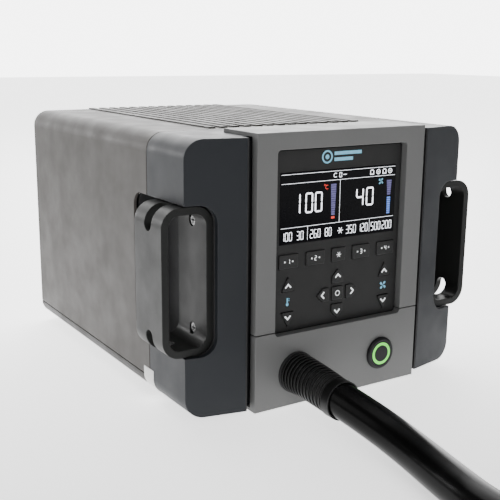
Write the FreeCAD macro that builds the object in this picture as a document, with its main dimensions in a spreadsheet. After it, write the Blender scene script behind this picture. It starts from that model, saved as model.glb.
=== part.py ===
import FreeCAD, Part
import math
import os
import Sketcher

# Hot air station: a bench unit with a blower, a front panel with display and keys, two side
# handles, and an air hose that ends in a handpiece. Millimetres. +Z up, the front faces -Y,
# and the origin is the middle of the plane that the four feet stand on.

doc = FreeCAD.newDocument("hot_air_station")

# ---------------------------------------------------------------- driving dimensions
DIMENSIONS = {
    # body
    "body_width": 220.0,
    "body_height": 171.4,
    "body_depth": 256.0,
    "foot_height": 5.0,
    "corner_radius": 12.0,
    "shell_wall": 2.0,
    "seam_gap": 0.8,
    "seam_height": 12.2,
    "lip_wall": 1.4,
    "lip_height": 5.0,
    "rib_count": 14.0,
    "rib_pitch": 9.2,
    "rib_width": 5.0,
    "rib_height": 1.0,
    "rib_start": 54.0,
    # bezel and front panel
    "bezel_depth": 48.0,
    "bezel_wall": 3.0,
    "wing_rise": 8.1,
    "moat_half": 71.5,
    "panel_half": 66.3,
    "panel_proud": 10.5,
    "panel_thick": 5.8,
    "panel_over": 2.4,
    "panel_under": 2.0,
    "panel_flange": 38.9,
    "split_height": 48.9,
    "split_gap": 0.8,
    "window_half": 51.6,
    "window_low": 46.0,
    "window_high": 163.1,
    "window_radius": 2.5,
    "subframe_thick": 3.0,
    "lip_thick": 0.8,
    "spacer_half": 62.0,
    "frame_opening": 53.2,
    # keypad and display, depths measured back from the bezel's front plane
    "keypad_front": -5.7,
    "keypad_step": -4.6,
    "keypad_back": -3.8,
    "keypad_gap": 1.0,
    "display_half": 46.5,
    "display_low": 103.4,
    "display_high": 148.5,
    "key_front": -6.5,
    "key_flange_front": -3.55,
    "key_back": -2.8,
    "key_clearance": 0.25,
    "key_rim": 0.7,
    "key_side": 8.8,
    "wide_key": 14.2,
    "middle_key": 10.6,
    "key_round": 0.8,
    "switch_tip": -2.1,
    "switch_front": -1.9,
    "board_front": 0.4,
    "board_thick": 1.6,
    # power switch and hose port
    "port_offset": 35.0,
    "port_height": 20.0,
    "power_head": 22.4,
    "power_head_thick": 2.2,
    "power_bore": 17.6,
    "power_cap": 17.0,
    "power_ring": 15.4,
    "power_core": 11.4,
    "power_thread": 18.8,
    "power_depth": 14.0,
    # handles and their recesses
    "handle_inner": 89.7,
    "handle_outer": 124.3,
    "handle_low": 39.8,
    "handle_high": 131.8,
    "handle_front": 1.3,
    "handle_depth": 35.5,
    "handle_wall": 4.6,
    "handle_round": 12.0,
    "slot_middle": 18.8,
    "slot_width": 9.0,
    "slot_end": 10.8,
    "slot_reach": 11.5,
    "recess_inner": 89.7,
    "recess_low": 39.1,
    "recess_high": 132.6,
    "recess_depth": 68.0,
    "recess_round": 11.3,
    "recess_back_round": 9.0,
    "tray_wall": 2.0,
    "screw_level": 34.4,
    # hose
    "hose_diameter": 22.2,
    "flange_diameter": 27.3,
    "relief_length": 43.5,
    "relief_sink": 4.5,
    "relief_side": 3.0,
    "collar_length": 7.0,
    "collar_seat": 3.5,
    "coil_radius": 112.0,
    "coil_x": 136.0,
    "coil_y": -338.0,
    "coil_top": 33.6,
    # rear and inside
    "inlet_x": 62.0,
    "inlet_z": 52.0,
    "blower_x": -4.0,
    "blower_y": -14.0,
    "blower_radius": 50.0,
    "blower_low": 4.0,
    "blower_high": 36.0,
    "motor_height": 42.0,
    # handpiece, along its own axis from the hose end
    "grip_radius": 17.5,
    "grip_start": 38.0,
    "grip_end": 128.0,
    "barrel_radius": 12.5,
    "barrel_end": 176.0,
    "nozzle_end": 202.0,
}

sheet = doc.addObject("Spreadsheet::Sheet", "dims")
for row, (alias, number) in enumerate(DIMENSIONS.items(), start=1):
    sheet.set("A%d" % row, alias)
    sheet.set("B%d" % row, str(number))
    sheet.setAlias("B%d" % row, alias)
doc.recompute()

# Places that many pieces share, as expressions of the sheet's cells.
HALF = "dims.body_width / 2"
FRONT = "-dims.body_depth / 2"
REAR = "dims.body_depth / 2"
BOTTOM = "dims.foot_height"
TOP = "dims.foot_height + dims.body_height"
MIDDLE = "(dims.handle_low + dims.handle_high) / 2 + dims.foot_height"


def size(expression):
    """The number that an expression of the sheet's cells gives."""
    return float(sheet.evalExpression(str(expression)))


def depth(offset):
    """A Y place, measured back from the bezel's front plane."""
    return "%s + (%s)" % (FRONT, offset)


def level(offset):
    """A Z place, measured up from the body's underside."""
    return "%s + (%s)" % (BOTTOM, offset)


# ---------------------------------------------------------------- helpers
NODES = {}


def node(name, piece):
    """Names a finished piece, so that it is written as parts/NAME.step."""
    piece.Label = name
    NODES[name] = piece
    return piece


def put(piece, x="0", y="0", z="0"):
    for axis, place in zip("xyz", (x, y, z)):
        piece.setExpression("Placement.Base." + axis, str(place))
    return piece


def box(name, x, y, z):
    """A block between two places along each axis."""
    piece = doc.addObject("Part::Box", name)
    for prop, span in zip(("Length", "Width", "Height"), (x, y, z)):
        piece.setExpression(prop, "(%s) - (%s)" % (span[1], span[0]))
    return put(piece, x[0], y[0], z[0])


TURNS = {
    "x": FreeCAD.Rotation(FreeCAD.Vector(0, 1, 0), 90),
    "y": FreeCAD.Rotation(FreeCAD.Vector(1, 0, 0), -90),
    "z": FreeCAD.Rotation(),
}


def cylinder(name, axis, radius, span, first, second):
    """A round bar along an axis, with the other two coordinates in X, Y, Z order."""
    piece = doc.addObject("Part::Cylinder", name)
    piece.Placement.Rotation = TURNS[axis]
    piece.setExpression("Radius", str(radius))
    piece.setExpression("Height", "(%s) - (%s)" % (span[1], span[0]))
    places = {"x": (span[0], first, second), "y": (first, span[0], second), "z": (first, second, span[0])}
    return put(piece, *places[axis])


def cone(name, axis, radii, span, first, second):
    piece = doc.addObject("Part::Cone", name)
    piece.Placement.Rotation = TURNS[axis]
    piece.setExpression("Radius1", str(radii[0]))
    piece.setExpression("Radius2", str(radii[1]))
    piece.setExpression("Height", "(%s) - (%s)" % (span[1], span[0]))
    places = {"x": (span[0], first, second), "y": (first, span[0], second), "z": (first, second, span[0])}
    return put(piece, *places[axis])


def fuse(name, *pieces):
    joined = doc.addObject("Part::MultiFuse", name)
    joined.Shapes = list(pieces)
    return joined


def common(name, first, second):
    shared = doc.addObject("Part::MultiCommon", name)
    shared.Shapes = [first, second]
    return shared


def cut(name, base, *tools):
    result = doc.addObject("Part::Cut", name)
    result.Base = base
    result.Tool = tools[0] if len(tools) == 1 else fuse(name + "_tools", *tools)
    return result


def group(name, *pieces):
    """Separate solids that share one node, such as identical screws."""
    together = doc.addObject("Part::Compound", name)
    together.Links = list(pieces)
    return together


def along(edge, axis):
    """True for a straight edge parallel to an axis."""
    if not isinstance(edge.Curve, Part.Line):
        return False
    return abs(getattr(edge.Curve.Direction, axis)) > 0.999


def rounded(name, base, radius, chosen):
    """Rounds the edges that the test picks."""
    doc.recompute()
    piece = doc.addObject("Part::Fillet", name)
    piece.Base = base
    picks = [index for index, edge in enumerate(base.Shape.Edges, start=1) if chosen(edge)]
    piece.Edges = [(index, size(radius), size(radius)) for index in picks]
    return piece


def bar(name, x, y, z, radius, axis="y"):
    """A block with its four long edges rounded."""
    return rounded(name, box(name + "_block", x, y, z), radius, lambda edge: along(edge, axis))


def outline(name, plane, points, start, end):
    """A flat-sided body: an outline of straight sides, padded between two places."""
    body = doc.addObject("PartDesign::Body", name)
    sketch = body.newObject("Sketcher::SketchObject", name + "_outline")
    origin_plane = [feature for feature in body.Origin.OriginFeatures if feature.Role == plane][0]
    sketch.AttachmentSupport = [(origin_plane, "")]
    sketch.MapMode = "FlatFace"
    corners = [FreeCAD.Vector(size(x), size(y), 0) for x, y in points]
    count = len(corners)
    for index in range(count):
        sketch.addGeometry(Part.LineSegment(corners[index], corners[(index + 1) % count]), False)
    for index in range(count):
        sketch.addConstraint(Sketcher.Constraint("Coincident", index, 2, (index + 1) % count, 1))
    for index, (x, y) in enumerate(points):
        for kind, place, corner in (("DistanceX", x, corners[index].x), ("DistanceY", y, corners[index].y)):
            number = sketch.addConstraint(Sketcher.Constraint(kind, -1, 1, index, 1, corner))
            sketch.setExpression("Constraints[%d]" % number, str(place))
    pad = body.newObject("PartDesign::Pad", name + "_pad")
    pad.Profile = sketch
    pad.setExpression("Length", "(%s) - (%s)" % (end, start))
    if plane == "XY_Plane":
        put(body, z=start)
    else:
        put(body, y=end)
    return body


def mirrored(name, source):
    """The same piece on the other side of the middle."""
    copy = doc.addObject("Part::Mirroring", name)
    copy.Source = source
    copy.Normal = FreeCAD.Vector(1, 0, 0)
    return copy


# ---------------------------------------------------------------- housing
def body_prism(name, grow, y_span):
    """The body's rounded section, grown or shrunk all round, between two depths."""
    return bar(
        name,
        ("-(%s) - (%s)" % (HALF, grow), "%s + (%s)" % (HALF, grow)),
        y_span,
        ("%s - (%s)" % (BOTTOM, grow), "%s + (%s)" % (TOP, grow)),
        "dims.corner_radius + (%s)" % grow,
    )


def recess_space(name, grow, side):
    """The hollow that a handle sits in, open to the front and to the side."""
    outer = "%s + 20" % HALF
    inner = "dims.recess_inner - (%s)" % grow
    x = (inner, outer) if side > 0 else ("-(%s)" % outer, "-(%s)" % inner)
    z = (level("dims.recess_low - (%s)" % grow), level("dims.recess_high + (%s)" % grow))
    y = (depth("-30"), depth("dims.recess_depth + (%s)" % grow))
    inner_x = side * (size(inner))
    front_view = rounded(
        name + "_front_view",
        box(name + "_front_block", x, y, z),
        "dims.recess_round + (%s)" % grow,
        lambda edge: along(edge, "y") and abs(edge.CenterOfMass.x - inner_x) < 0.01,
    )
    back_y = size(y[1])
    side_view = rounded(
        name + "_side_view",
        box(name + "_side_block", x, y, z),
        "dims.recess_back_round + (%s)" % grow,
        lambda edge: along(edge, "x") and abs(edge.CenterOfMass.y - back_y) < 0.01,
    )
    return common(name, front_view, side_view)


def bezel_space(name, inset, back):
    """The space inside the bezel, with slanted wings in front, less an inset all round."""
    half = "%s - dims.bezel_wall - (%s)" % (HALF, inset)
    front = depth("dims.bezel_wall + (%s)" % inset)
    centre = depth("dims.bezel_wall - dims.wing_rise + (%s)" % inset)
    plan = outline(
        name + "_plan",
        "XY_Plane",
        [
            ("-(%s)" % half, back),
            (half, back),
            (half, front),
            ("dims.moat_half", centre),
            ("-dims.moat_half", centre),
            ("-(%s)" % half, front),
        ],
        BOTTOM,
        TOP,
    )
    section = body_prism(name + "_section", "-dims.bezel_wall - (%s)" % inset, (depth("-30"), back))
    return common(name, plan, section)


def make_bezel():
    rear = depth("dims.bezel_depth")
    plan = outline(
        "bezel_plan",
        "XY_Plane",
        [
            ("-%s" % HALF, rear),
            (HALF, rear),
            (HALF, FRONT),
            ("dims.moat_half", depth("-dims.wing_rise")),
            ("-dims.moat_half", depth("-dims.wing_rise")),
            ("-%s" % HALF, FRONT),
        ],
        BOTTOM,
        TOP,
    )
    outside = common("bezel_outside", plan, body_prism("bezel_section", "0", (depth("-30"), rear)))
    inside = bezel_space("bezel_inside", "0", depth("dims.bezel_depth + 10"))
    moat = box("bezel_moat", ("-dims.moat_half", "dims.moat_half"), (depth("-30"), FRONT), ("0", "%s + 5" % TOP))
    lip_outside = body_prism(
        "bezel_lip_outside",
        "-dims.shell_wall - 0.3",
        (depth("dims.bezel_depth - 4"), depth("dims.bezel_depth + dims.lip_height")),
    )
    lip_inside = body_prism(
        "bezel_lip_inside",
        "-dims.bezel_wall - 0.7",
        (depth("dims.bezel_depth - 5"), depth("dims.bezel_depth + dims.lip_height + 1")),
    )
    lip = cut("bezel_lip", lip_outside, lip_inside)
    shell = fuse("bezel_shell", cut("bezel_hollow", outside, inside, moat), lip)
    recesses = [recess_space("bezel_recess_left", "0", -1), recess_space("bezel_recess_right", "0", 1)]
    return node("front_bezel", cut("front_bezel", shell, *recesses))


def shell_between(name, y_span, grow_in):
    outside = body_prism(name + "_outside", "0", y_span)
    longer = ("%s - 5" % y_span[0], "%s + 5" % y_span[1])
    inside = body_prism(name + "_inside", grow_in, longer)
    return cut(name, outside, inside)


def make_top_cover():
    y_span = (depth("dims.bezel_depth + dims.seam_gap"), REAR)
    shell = shell_between("cover_shell", y_span, "-dims.shell_wall")
    below = box(
        "cover_below",
        ("-%s - 5" % HALF, "%s + 5" % HALF),
        ("%s - 5" % FRONT, "%s + 5" % REAR),
        ("-5", level("dims.seam_height")),
    )
    ribs = []
    first_rib = "-(dims.rib_count - 1) * dims.rib_pitch / 2 - dims.rib_width / 2"
    for index in range(int(size("dims.rib_count"))):
        left = "%s + %d * dims.rib_pitch" % (first_rib, index)
        rib = box(
            "rib_%d" % index,
            (left, "%s + dims.rib_width" % left),
            (depth("dims.rib_start"), REAR),
            ("%s - dims.shell_wall / 2" % TOP, "%s + dims.rib_height" % TOP),
        )
        ribs.append(rib)
    recesses = [recess_space("cover_recess_left", "0", -1), recess_space("cover_recess_right", "0", 1)]
    bosses = corner_bosses("cover_boss", "%s - dims.shell_wall - 11" % TOP, "%s - dims.shell_wall / 2" % TOP)
    ribbed = fuse("cover_ribbed", shell, *ribs, *bosses)
    return node("top_cover", cut("top_cover", ribbed, below, *recesses))


def corner_bosses(name, low, high):
    """Blocks inside the rear corners that take the rear panel's screws."""
    bosses = []
    for side, label in ((-1, "left"), (1, "right")):
        inner = "%d * (%s - 22)" % (side, HALF)
        outer = "%d * (%s - 10)" % (side, HALF)
        x = (outer, inner) if side < 0 else (inner, outer)
        bosses.append(box("%s_%s" % (name, label), x, ("%s - 16" % REAR, "%s - 3.6" % REAR), (low, high)))
    return bosses


def make_base_pan():
    y_span = (depth("dims.bezel_depth + dims.seam_gap"), REAR)
    shell = shell_between("pan_shell", y_span, "-dims.shell_wall")
    above = box(
        "pan_above",
        ("-%s - 5" % HALF, "%s + 5" % HALF),
        ("%s - 5" % FRONT, "%s + 5" % REAR),
        (level("dims.seam_height - dims.seam_gap"), "%s + 5" % TOP),
    )
    pan = cut("pan_cut", shell, above)
    lips = []
    for side, label in ((-1, "left"), (1, "right")):
        far = "%d * (%s - dims.shell_wall - 0.1)" % (side, HALF)
        near = "%d * (%s - dims.shell_wall - 0.1 - dims.lip_wall)" % (side, HALF)
        x = (far, near) if side < 0 else (near, far)
        y = (depth("dims.recess_depth + dims.tray_wall + 1"), "%s - 6" % REAR)
        z = (level("dims.seam_height - 2"), level("dims.seam_height + dims.lip_height"))
        web_x = (far, near) if side < 0 else (near, "%s - dims.shell_wall / 2" % HALF)
        if side < 0:
            web_x = ("-%s + dims.shell_wall / 2" % HALF, near)
        lips.append(box("pan_lip_" + label, x, y, z))
        lips.append(box("pan_web_" + label, web_x, y, (z[0], level("dims.seam_height - dims.seam_gap - 0.2"))))
    floor = level("dims.shell_wall / 2")
    posts = []
    for index, (x, y) in enumerate(BOARD_POSTS):
        posts.append(cylinder("board_post_%d" % index, "z", "3.2", (floor, level("8")), str(x), str(y)))
    for index, (x, y) in enumerate(BLOWER_POSTS):
        place = ("dims.blower_x + (%s)" % x, "dims.blower_y + (%s)" % y)
        posts.append(cylinder("blower_post_%d" % index, "z", "4", (floor, level("dims.blower_low")), *place))
    bosses = corner_bosses("pan_boss", floor, level("dims.seam_height - dims.seam_gap"))
    slots = []
    for index in range(-4, 5):
        middle = "dims.blower_x + %d * 7" % index
        slots.append(
            box(
                "intake_slot_%d" % (index + 4),
                ("%s - 1.8" % middle, "%s + 1.8" % middle),
                ("dims.blower_y - 22", "dims.blower_y + 22"),
                ("0", level("dims.shell_wall + 1")),
            )
        )
    for index, (x, y) in enumerate(FOOT_PLACES):
        slots.append(cylinder("foot_hole_%d" % index, "z", "1.7", ("0", level("dims.shell_wall + 1")), x, y))
    solid = fuse("pan_solid", pan, *lips, *posts, *bosses)
    return node("base_pan", cut("base_pan", solid, *slots))


BOARD_POSTS = [(54, -40), (92, -40), (54, 98), (92, 98)]
BLOWER_POSTS = [(0, 44), (38, -22), (-20, -39)]
FOOT_PLACES = [
    ("-%s + 26" % HALF, depth("dims.bezel_depth + 18")),
    ("%s - 26" % HALF, depth("dims.bezel_depth + 18")),
    ("-%s + 26" % HALF, "%s - 26" % REAR),
    ("%s - 26" % HALF, "%s - 26" % REAR),
]


def make_feet():
    feet = []
    screws = []
    for index, (x, y) in enumerate(FOOT_PLACES):
        pad = cone("foot_pad_%d" % index, "z", ("6.8", "7.6"), ("0", BOTTOM), x, y)
        pocket = cylinder("foot_pocket_%d" % index, "z", "3.6", ("-1", "2.6"), x, y)
        hole = cylinder("foot_bore_%d" % index, "z", "1.7", ("0", "dims.foot_height + 1"), x, y)
        feet.append(cut("foot_%d" % index, pad, pocket, hole))
        head = cylinder("foot_head_%d" % index, "z", "3.2", ("1.0", "2.6"), x, y)
        shank = cylinder("foot_shank_%d" % index, "z", "1.6", ("2.0", level("6")), x, y)
        screws.append(fuse("foot_screw_%d" % index, head, shank))
    node("rubber_feet", group("rubber_feet", *feet))
    node("foot_screws", group("foot_screws", *screws))


# ---------------------------------------------------------------- front panel
HOSE_X = "-dims.port_offset"
POWER_X = "dims.port_offset"
PORT_Z = level("dims.port_height")


def panel_window(name, grow):
    return bar(
        name,
        ("-dims.window_half - (%s)" % grow, "dims.window_half + (%s)" % grow),
        (depth("-40"), depth("20")),
        (level("dims.window_low - (%s)" % grow), level("dims.window_high + (%s)" % grow)),
        "dims.window_radius",
    )


def port_holes(name):
    """The hose and power switch holes, through the panel and what is behind it."""
    holes = []
    for label, x, radius in (("hose", HOSE_X, "10.4"), ("power", POWER_X, "dims.power_thread / 2 + 0.1")):
        holes.append(cylinder("%s_%s_hole" % (name, label), "y", radius, (depth("-30"), depth("20")), x, PORT_Z))
    return holes


def make_front_panels():
    x = ("-dims.panel_half", "dims.panel_half")
    slab_y = (depth("-dims.panel_proud"), depth("-dims.panel_proud + dims.panel_thick"))
    flange_y = (depth("-dims.panel_proud"), depth("-dims.panel_proud + dims.panel_flange"))
    split = "dims.split_height"
    upper_slab = box("upper_slab", x, slab_y, (level(split + " + dims.split_gap / 2"), "%s + dims.panel_over" % TOP))
    upper_flange = box("upper_flange", x, flange_y, (TOP, "%s + dims.panel_over" % TOP))
    upper = cut("upper_cut", fuse("upper_solid", upper_slab, upper_flange), panel_window("upper_window", "0"))
    front_y = size(slab_y[0])
    soft = lambda edge: abs(edge.CenterOfMass.y - front_y) < 0.01 and edge.Length > 60
    node("front_panel_upper", rounded("front_panel_upper", upper, "0.5", lambda e: soft(e) and along(e, "x")))
    lower_z = ("%s - dims.panel_under" % BOTTOM, level(split + " - dims.split_gap / 2"))
    lower_slab = box("lower_slab", x, slab_y, lower_z)
    lower_flange = box("lower_flange", x, flange_y, (lower_z[0], BOTTOM))
    lower_solid = fuse("lower_solid", lower_slab, lower_flange)
    lower = cut("front_panel_lower", lower_solid, panel_window("lower_window", "0"), *port_holes("lower"))
    node("front_panel_lower", lower)


def make_subframe():
    low = level("dims.bezel_wall + 0.1")
    high = "%s - dims.bezel_wall - 0.1" % TOP
    side = "dims.moat_half - 0.1"
    plate_y = (FRONT, depth("dims.subframe_thick"))
    plate = box("subframe_plate", ("-(%s)" % side, side), plate_y, (low, high))
    spacer = box(
        "subframe_spacer",
        ("-dims.spacer_half", "dims.spacer_half"),
        (depth("-dims.panel_proud + dims.panel_thick"), FRONT),
        (level("6"), "%s - 6" % TOP),
    )
    lips = []
    for label, x in (
        ("left", ("-(%s)" % side, "-(%s) + dims.lip_thick" % side)),
        ("right", ("%s - dims.lip_thick" % side, side)),
    ):
        lips.append(box("subframe_lip_" + label, x, (depth("-dims.wing_rise + 0.1"), FRONT), (BOTTOM, TOP)))
    opening = box(
        "subframe_opening",
        ("-dims.frame_opening", "dims.frame_opening"),
        (depth("-20"), depth("20")),
        (level("dims.window_low - 1.6"), level("dims.window_high + 1.6")),
    )
    solid = fuse("subframe_solid", plate, spacer, *lips)
    node("panel_subframe", cut("panel_subframe", solid, opening, *port_holes("subframe")))


# ---------------------------------------------------------------- keypad and display
# Each key: name, X, height above the body's underside, shape.
KEY_ROWS = {"top": 92.5, "upper": 77.6, "middle": 66.5, "lower": 54.9}
KEYS = [
    ("key_preset_one", -39.6, "top", "wide"),
    ("key_preset_two", -18.7, "top", "wide"),
    ("key_cool", 0.0, "top", "middle"),
    ("key_preset_three", 18.7, "top", "wide"),
    ("key_preset_four", 39.6, "top", "wide"),
    ("key_heat_up", -39.6, "upper", "triangle_up"),
    ("key_heat_down", -39.6, "lower", "triangle_down"),
    ("key_air_up", 39.6, "upper", "triangle_up"),
    ("key_air_down", 39.6, "lower", "triangle_down"),
    ("key_nav_up", 0.0, "upper", "house_up"),
    ("key_nav_down", 0.0, "lower", "house_down"),
    ("key_nav_left", -11.4, "middle", "house_left"),
    ("key_nav_right", 11.4, "middle", "house_right"),
    ("key_set", 0.0, "middle", "square"),
]
# Corners of each key shape, as shares of the key's half side.
TRIANGLE = [(-1.05, -1.0), (1.05, -1.0), (0.0, 1.1)]
HOUSE = [(-1.0, -0.95), (1.0, -0.95), (1.0, 0.1), (0.0, 1.15), (-1.0, 0.1)]


def turned(points, shape):
    """Turns an upward-pointing outline to the way that a key points."""
    if shape.endswith("down"):
        return [(x, -z) for x, z in reversed(points)]
    if shape.endswith("left"):
        return [(-z, x) for x, z in points]
    if shape.endswith("right"):
        return [(z, -x) for x, z in points]
    return points


def key_outline(shape, grow):
    """A key's corners as expressions, grown all round by a clearance or shrunk."""
    half = "(dims.key_side / 2 + (%s))" % grow
    widths = {"wide": "dims.wide_key", "middle": "dims.middle_key", "square": "dims.key_side"}
    if shape in widths:
        wide = "(%s / 2 + (%s))" % (widths[shape], grow)
        return [("-" + wide, "-" + half), (wide, "-" + half), (wide, half), ("-" + wide, half)]
    points = turned(TRIANGLE if shape.startswith("triangle") else HOUSE, shape)
    stretch = 1.9 if shape.startswith("triangle") else 1.25
    half = "(dims.key_side / 2 + %s * (%s))" % (stretch, grow)
    return [("%s * %s" % (x, half), "%s * %s" % (z, half)) for x, z in points]


def key_prism(name, key, grow, start, end):
    _, x, row, shape = key
    points = [
        ("%s + (%s)" % (x, px), level("%s + (%s)" % (KEY_ROWS[row], pz)))
        for px, pz in key_outline(shape, grow)
    ]
    return outline(name, "XZ_Plane", points, depth(start), depth(end))


def make_keys():
    for key in KEYS:
        name = key[0]
        cap = key_prism(name + "_cap", key, "0", "dims.key_front", "dims.key_flange_front")
        soft = rounded(name + "_soft", cap, "dims.key_round", lambda edge: along(edge, "y"))
        rim = key_prism(name + "_rim", key, "dims.key_rim", "dims.key_flange_front", "dims.key_back")
        node(name, fuse(name, soft, rim))


def make_keypad():
    front = bar(
        "keypad_front_plate",
        ("-dims.window_half + dims.keypad_gap", "dims.window_half - dims.keypad_gap"),
        (depth("dims.keypad_front"), depth("dims.keypad_step + 0.1")),
        (level("dims.window_low + dims.keypad_gap"), level("dims.window_high - dims.keypad_gap")),
        "dims.window_radius - 0.9",
    )
    flange = box(
        "keypad_flange",
        ("-dims.frame_opening + 0.2", "dims.frame_opening - 0.2"),
        (depth("dims.keypad_step"), depth("dims.keypad_back")),
        (level("dims.window_low - 1.4"), level("dims.window_high + 1.4")),
    )
    window = box(
        "keypad_window",
        ("-dims.display_half - 0.1", "dims.display_half + 0.1"),
        (depth("-20"), depth("20")),
        (level("dims.display_low - 0.1"), level("dims.display_high + 0.1")),
    )
    holes = [
        key_prism("%s_hole" % key[0], key, "dims.key_clearance", "dims.keypad_front - 2", "dims.keypad_back + 2")
        for key in KEYS
    ]
    node("keypad_panel", cut("keypad_panel", fuse("keypad_solid", front, flange), window, *holes))


def make_display():
    glass = box(
        "lcd_window",
        ("-dims.display_half", "dims.display_half"),
        (depth("dims.keypad_front - 0.2"), depth("dims.keypad_back")),
        (level("dims.display_low"), level("dims.display_high")),
    )
    node("lcd_window", glass)
    module = box(
        "lcd_module",
        ("-dims.display_half + 0.5", "dims.display_half - 0.5"),
        (depth("dims.keypad_back + 0.1"), depth("dims.board_front")),
        (level("dims.display_low - 1.2"), level("dims.display_high + 1.2")),
    )
    node("lcd_module", module)
    board = box(
        "display_board",
        ("-dims.frame_opening + 3", "dims.frame_opening - 3"),
        (depth("dims.board_front"), depth("dims.board_front + dims.board_thick")),
        (level("dims.window_low + 1"), level("dims.window_high - 1")),
    )
    node("display_board", board)
    switches = []
    for name, x, row, _ in KEYS:
        base = box(
            name + "_switch_base",
            ("%s - 3" % x, "%s + 3" % x),
            (depth("dims.switch_front"), depth("dims.board_front")),
            (level("%s - 3" % KEY_ROWS[row]), level("%s + 3" % KEY_ROWS[row])),
        )
        tip_y = (depth("dims.switch_tip"), depth("dims.switch_front + 0.3"))
        tip = cylinder(name + "_switch_tip", "y", "1.6", tip_y, x, level(KEY_ROWS[row]))
        switches.append(fuse(name + "_switch", base, tip))
    node("key_switches", group("key_switches", *switches))


def make_power_switch():
    face = "-dims.panel_proud"
    head = "%s - dims.power_head_thick" % face
    flange = cylinder("power_flange", "y", "dims.power_head / 2", (depth(head), depth(face)), POWER_X, PORT_Z)
    doc.recompute()
    front_y = size(depth(head))
    soft = rounded("power_flange_soft", flange, "1.5", lambda edge: abs(edge.CenterOfMass.y - front_y) < 0.01)
    thread_y = (depth(face + " - 0.2"), depth("dims.power_depth"))
    thread = cylinder("power_thread", "y", "dims.power_thread / 2", thread_y, POWER_X, PORT_Z)
    bore_y = (depth(head + " - 1"), depth("-2.2"))
    bore = cylinder("power_bore", "y", "dims.power_bore / 2", bore_y, POWER_X, PORT_Z)
    node("power_switch_body", cut("power_switch_body", fuse("power_solid", soft, thread), bore))
    disc_y = (depth(head + " + 1.4"), depth("-5"))
    disc = cylinder("power_disc", "y", "dims.power_cap / 2", disc_y, POWER_X, PORT_Z)
    core_y = (depth(head + " - 0.2"), depth(head + " + 1.6"))
    core = cylinder("power_core", "y", "dims.power_core / 2", core_y, POWER_X, PORT_Z)
    ring_y = (depth(head), depth(head + " + 1.4"))
    rim_outside = cylinder("rim_outside", "y", "dims.power_cap / 2", ring_y, POWER_X, PORT_Z)
    rim_hole_y = (depth(head + " - 1"), depth(head + " + 2"))
    rim_hole = cylinder("rim_hole", "y", "dims.power_ring / 2 + 0.05", rim_hole_y, POWER_X, PORT_Z)
    node("power_cap", fuse("power_cap", disc, core, cut("power_rim", rim_outside, rim_hole)))
    ring = cylinder("ring_outside", "y", "dims.power_ring / 2", ring_y, POWER_X, PORT_Z)
    hole_y = (depth(head + " - 1"), depth(head + " + 2"))
    hole = cylinder("ring_hole", "y", "dims.power_core / 2 + 0.05", hole_y, POWER_X, PORT_Z)
    node("power_light_ring", cut("power_light_ring", ring, hole))
    nut_y = (depth("dims.subframe_thick"), depth("dims.subframe_thick + 3"))
    nut = cylinder("nut_outside", "y", "12", nut_y, POWER_X, PORT_Z)
    nut_hole_y = (depth("dims.subframe_thick - 1"), depth("dims.subframe_thick + 4"))
    nut_hole = cylinder("nut_hole", "y", "dims.power_thread / 2 + 0.05", nut_hole_y, POWER_X, PORT_Z)
    node("power_switch_nut", cut("power_switch_nut", nut, nut_hole))


# ---------------------------------------------------------------- handles
def handle_ring():
    """The right handle: a deep rounded ring with two slots through its outer corners."""
    low = level("dims.handle_low")
    high = level("dims.handle_high")
    y = (depth("dims.handle_front"), depth("dims.handle_front + dims.handle_depth"))
    longer = (depth("dims.handle_front - 5"), depth("dims.handle_front + dims.handle_depth + 5"))
    wall = "dims.handle_wall"
    outside = bar("handle_outside", ("dims.handle_inner", "dims.handle_outer"), y, (low, high), "dims.handle_round")
    inside = bar(
        "handle_inside",
        ("dims.handle_inner + " + wall, "dims.handle_outer - " + wall),
        longer,
        ("%s + %s" % (low, wall), "%s - %s" % (high, wall)),
        "dims.handle_round - " + wall,
    )
    slot_y = (depth("dims.slot_middle - dims.slot_width / 2"), depth("dims.slot_middle + dims.slot_width / 2"))
    middle_y = depth("dims.slot_middle")
    out = "dims.handle_outer + 5"
    end_x = "dims.handle_outer - dims.slot_reach"
    tools = []
    for label, edge, sign in (("upper", high, "-"), ("lower", low, "+")):
        end_z = "%s %s dims.slot_end" % (edge, sign)
        far_z = "%s %s -5" % (edge, sign)
        z = (end_z, far_z) if label == "upper" else (far_z, end_z)
        cap_z = ("%s - 8" % high, far_z) if label == "upper" else (far_z, "%s + 8" % low)
        tools.append(box("slot_%s" % label, (end_x, out), slot_y, z))
        end_span = ("dims.handle_outer - %s - 1" % wall, out)
        tools.append(cylinder("slot_%s_end" % label, "x", "dims.slot_width / 2", end_span, middle_y, end_z))
        tools.append(cylinder("slot_%s_top" % label, "z", "dims.slot_width / 2", cap_z, end_x, middle_y))
    for label, sign in (("high", "+"), ("low", "-")):
        z = "%s %s dims.screw_level" % (MIDDLE, sign)
        through = ("dims.handle_inner - 2", "dims.handle_inner + %s + 1" % wall)
        sunk = ("dims.handle_inner + 2", "dims.handle_inner + %s + 1" % wall)
        tools.append(cylinder("screw_way_" + label, "x", "2.1", through, middle_y, z))
        tools.append(cylinder("screw_sink_" + label, "x", "3.7", sunk, middle_y, z))
    return cut("handle_ring", outside, inside, *tools)


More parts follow.
